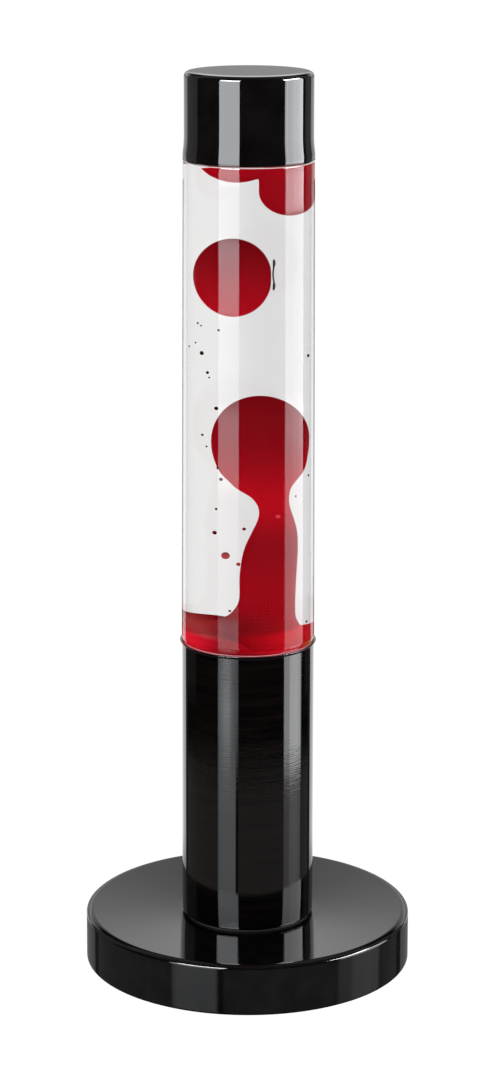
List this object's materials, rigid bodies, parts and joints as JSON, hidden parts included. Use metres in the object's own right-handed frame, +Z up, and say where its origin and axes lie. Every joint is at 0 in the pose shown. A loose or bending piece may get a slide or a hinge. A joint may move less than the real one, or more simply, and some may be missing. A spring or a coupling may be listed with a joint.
{
  "type": "lava lamp",
  "caption": "Tall slim lava lamp: glass cylinder of clear liquid and red wax on a black metal column with a heavy round base plate and a lift-off black cap.",
  "frame": {"origin": "centre of the lamp on the plane it stands on", "axes": "+Z up along the lamp's axis, -Y towards the viewer (front), +Y towards the cord inlet"},
  "size_m": [0.1304, 0.1312, 0.36],
  "materials": {
    "black_gloss": "gloss",
    "black_cover": "matte",
    "black_rubber": "matte",
    "silicone": "matte",
    "bare_steel": "satin",
    "cast_iron": "matte",
    "brass": "satin",
    "white_ceramic": "gloss",
    "nylon": "satin",
    "wire_brown": "satin",
    "wire_blue": "satin",
    "bulb_glass": "gloss",
    "solder": "satin",
    "vitrite": "gloss",
    "tungsten": "satin",
    "clear_glass": "gloss",
    "clear_liquid": "gloss",
    "red_wax": "satin"
  },
  "bodies": {
    "base": {"base_shell": "black_gloss", "weld_bosses": "bare_steel", "ballast_ring": "cast_iron", "bottom_cover": "black_cover", "cover_screws": "bare_steel", "feet": "black_rubber", "cord_bush": "black_rubber", "terminal_block": "nylon", "terminal_inserts": "brass", "terminal_screws": "bare_steel", "terminal_fixing_screw": "bare_steel", "column_gasket": "black_rubber", "column_tube": "black_gloss", "threaded_nipple": "brass", "nipple_nut": "bare_steel", "lock_washer": "bare_steel", "lampholder_body": "white_ceramic", "socket_shell": "brass", "centre_contact": "brass", "wire_live": "wire_brown", "wire_neutral": "wire_blue", "seat_ring": "bare_steel", "seat_gasket": "silicone"},
    "bulb_tip": {"bulb_tip_contact": "solder"},
    "bulb": {"bulb_insulator": "vitrite", "bulb_screw_base": "bare_steel", "bulb_glass": "bulb_glass", "bulb_stem": "bulb_glass", "bulb_filament": "tungsten"},
    "vessel": {"glass_bottle": "clear_glass", "liquid": "clear_liquid", "wax_column": "red_wax", "wax_top": "red_wax", "wax_droplets": "red_wax", "wax_breaker_coil": "bare_steel", "crown_seal": "silicone", "crown_closure": "bare_steel"},
    "free_wax": {"wax_blob": "red_wax"},
    "cap": {"top_cap": "black_gloss", "cap_liner": "silicone"}
  },
  "joints": [
    {"name": "vessel_lift", "type": "slide", "parent": "base", "child": "vessel", "axis": [0, 0, 1], "range_m": [0, 0.12]},
    {"name": "cap_lift", "type": "slide", "parent": "vessel", "child": "cap", "axis": [0, 0, 1], "range_m": [0, 0.05]},
    {"name": "wax_drift", "type": "slide", "parent": "vessel", "child": "free_wax", "axis": [0, 0, 1], "range_m": [-0.03, 0.016], "deforming": ["liquid"]},
    {"name": "bulb_rise", "type": "slide", "parent": "base", "child": "bulb_tip", "axis": [0, 0, 1], "range_m": [0, 0.01551]},
    {"name": "bulb_turn", "type": "hinge", "parent": "bulb_tip", "child": "bulb", "pos_m": [0, 0, 0.0368], "axis": [0, 0, 1], "range_deg": [0, 1980]}
  ],
  "couplings": [
    {"joint": "bulb_turn", "follows": "bulb_rise", "rad_per_m": 2228.1}
  ]
}
